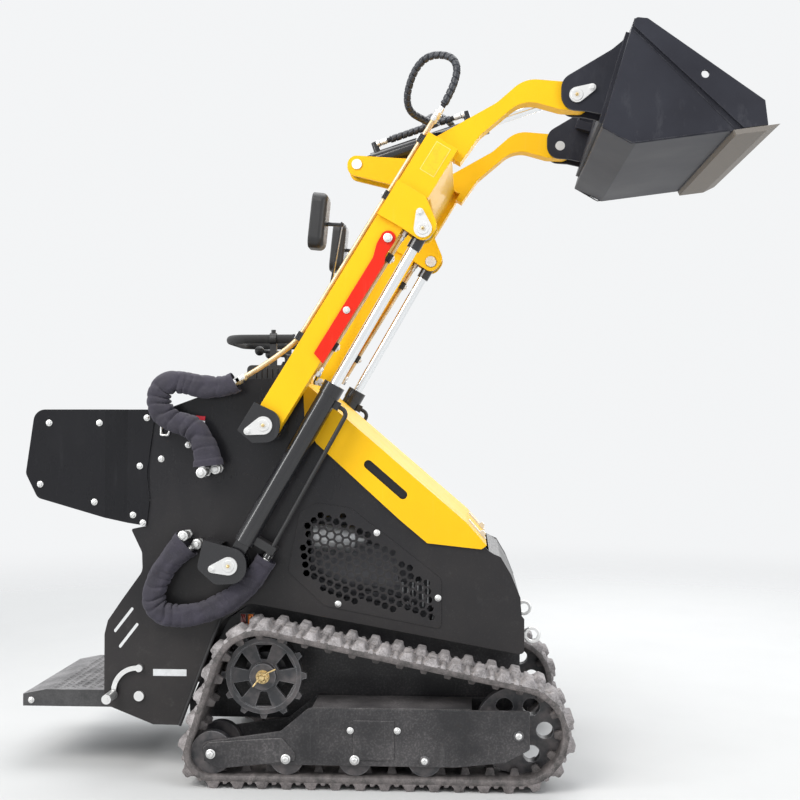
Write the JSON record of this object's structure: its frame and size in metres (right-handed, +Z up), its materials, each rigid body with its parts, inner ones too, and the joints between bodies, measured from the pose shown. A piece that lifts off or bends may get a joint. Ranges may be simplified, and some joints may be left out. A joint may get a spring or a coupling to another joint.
{
  "type": "stand-on compact track loader",
  "caption": "Stand-on compact track loader with a raised two-arm boom, a levelled bucket, rubber tracks, an opening hood and a folding operator's platform.",
  "frame": {"origin": "on the ground, midway along, across and under the machine", "axes": "+X forward towards the bucket, +Y to the machine's left, +Z up"},
  "size_m": [2.198, 0.89, 2.1646],
  "materials": {
    "black_foam": "foamed",
    "black_paint": "satin",
    "black_plastic": "textured",
    "grey_iron": "matt",
    "hard_chrome": "ground and polished",
    "hose_rubber": "matt",
    "mirror_glass": "silvered",
    "red_paint": "satin",
    "track_rubber": "dusty",
    "worn_steel": "worn",
    "yellow_paint": "gloss enamel, dusty and chipped",
    "zinc": "zinc plated"
  },
  "bodies": {
    "frame": {"chassis_panels": "black_paint", "chassis_tub": "black_paint", "console_housing": "black_paint", "control_levers": "zinc", "drive_motors": "grey_iron", "drive_sprockets": "worn_steel", "engine": "grey_iron", "foot_levers": "zinc", "grilles": "black_paint", "handlebar": "black_foam", "hood_hinges": "zinc", "hose_elbows": "zinc", "lower_hoses": "hose_rubber", "mirror_bars": "black_paint", "mirror_glasses": "mirror_glass", "mirror_shells": "black_plastic", "pivot_mounts": "black_paint", "pivot_pins": "zinc", "platform_pins": "zinc", "side_plates": "black_paint", "tie_down_eyes": "zinc", "track_frames": "black_paint", "track_left": "track_rubber", "track_right": "track_rubber", "track_wheels": "worn_steel", "upper_hoses": "hose_rubber", "wings": "black_paint"},
    "hood": {"hood": "yellow_paint", "hood_latches": "zinc"},
    "platform": {"platform": "black_paint"},
    "boom": {"boom_arms": "yellow_paint", "lift_brackets": "yellow_paint", "cross_beam": "yellow_paint", "goosenecks": "yellow_paint", "tilt_horn": "yellow_paint", "boom_pins": "zinc", "boom_pipes": "zinc", "boom_hoses": "hose_rubber"},
    "boom_prop_right": {"boom_prop_right": "red_paint"},
    "boom_prop_left": {"boom_prop_left": "red_paint"},
    "lift_barrel_right": {"lift_barrel_right": "black_paint", "barrel_line_right": "zinc"},
    "lift_rod_right": {"lift_rod_right": "hard_chrome", "lift_rod_eye_right": "black_paint"},
    "lift_barrel_left": {"lift_barrel_left": "black_paint", "barrel_line_left": "zinc"},
    "lift_rod_left": {"lift_rod_left": "hard_chrome", "lift_rod_eye_left": "black_paint"},
    "tilt_barrel": {"tilt_barrel": "black_paint"},
    "tilt_rod": {"tilt_rod": "hard_chrome", "tilt_rod_eye": "black_paint"},
    "bucket": {"bucket": "black_paint", "side_cutters": "black_paint", "cutting_edge": "worn_steel", "attach_frame": "black_paint", "attach_pins": "zinc", "attach_locks": "zinc"}
  },
  "joints": [
    {"name": "boom_lift", "type": "hinge", "parent": "frame", "child": "boom", "pos_m": [-0.351, 0, 1.023], "axis": [0, -1, 0], "range_deg": [-86.5, 4], "deforming": ["upper_hoses"]},
    {"name": "bucket_tilt", "type": "hinge", "parent": "boom", "child": "bucket", "pos_m": [0.54797, 0, 1.97105], "axis": [0, 1, 0], "range_deg": [-80, 30]},
    {"name": "tilt_barrel_swing", "type": "hinge", "parent": "boom", "child": "tilt_barrel", "pos_m": [-0.11503, 0, 1.84705], "axis": [0, 1, 0], "range_deg": [-3.59, 1.66], "deforming": ["boom_hoses"]},
    {"name": "tilt_rod_slide", "type": "slide", "parent": "tilt_barrel", "child": "tilt_rod", "axis": [0.9509, 0, 0.3096], "range_m": [-0.175, 0.0669]},
    {"name": "lift_barrel_swing_right", "type": "hinge", "parent": "frame", "child": "lift_barrel_right", "pos_m": [-0.451, -0.35, 0.62], "axis": [0, -1, 0], "range_deg": [-62.11, 3.35], "deforming": ["lower_hoses"]},
    {"name": "lift_rod_slide_right", "type": "slide", "parent": "lift_barrel_right", "child": "lift_rod_right", "axis": [0.5006, 0, 0.8657], "range_m": [-0.4275, 0.0217]},
    {"name": "lift_barrel_swing_left", "type": "hinge", "parent": "frame", "child": "lift_barrel_left", "pos_m": [-0.451, 0.35, 0.62], "axis": [0, -1, 0], "range_deg": [-62.11, 3.35]},
    {"name": "lift_rod_slide_left", "type": "slide", "parent": "lift_barrel_left", "child": "lift_rod_left", "axis": [0.5006, 0, 0.8657], "range_m": [-0.4275, 0.0217]},
    {"name": "hood_open", "type": "hinge", "parent": "frame", "child": "hood", "pos_m": [-0.25, 0, 1.168], "axis": [0, -1, 0], "range_deg": [0, 45]},
    {"name": "platform_fold", "type": "hinge", "parent": "frame", "child": "platform", "pos_m": [-0.737, 0, 0.223], "axis": [0, 1, 0], "range_deg": [0, 85]},
    {"name": "prop_swing_right", "type": "hinge", "parent": "boom", "child": "boom_prop_right", "pos_m": [0.00673, -0.379, 1.56011], "axis": [0, -1, 0], "range_deg": [0, 11]},
    {"name": "prop_swing_left", "type": "hinge", "parent": "boom", "child": "boom_prop_left", "pos_m": [0.00673, 0.379, 1.56011], "axis": [0, -1, 0], "range_deg": [0, 11]}
  ],
  "couplings": [
    {"joint": "tilt_barrel_swing", "follows": "bucket_tilt", "ratio": 0.03863},
    {"joint": "tilt_rod_slide", "follows": "bucket_tilt", "m_per_rad": 0.12391},
    {"joint": "lift_barrel_swing_right", "follows": "boom_lift", "ratio": 0.71227},
    {"joint": "lift_rod_slide_right", "follows": "boom_lift", "m_per_rad": 0.28185},
    {"joint": "lift_barrel_swing_left", "follows": "boom_lift", "ratio": 0.71227},
    {"joint": "lift_rod_slide_left", "follows": "boom_lift", "m_per_rad": 0.28185}
  ]
}
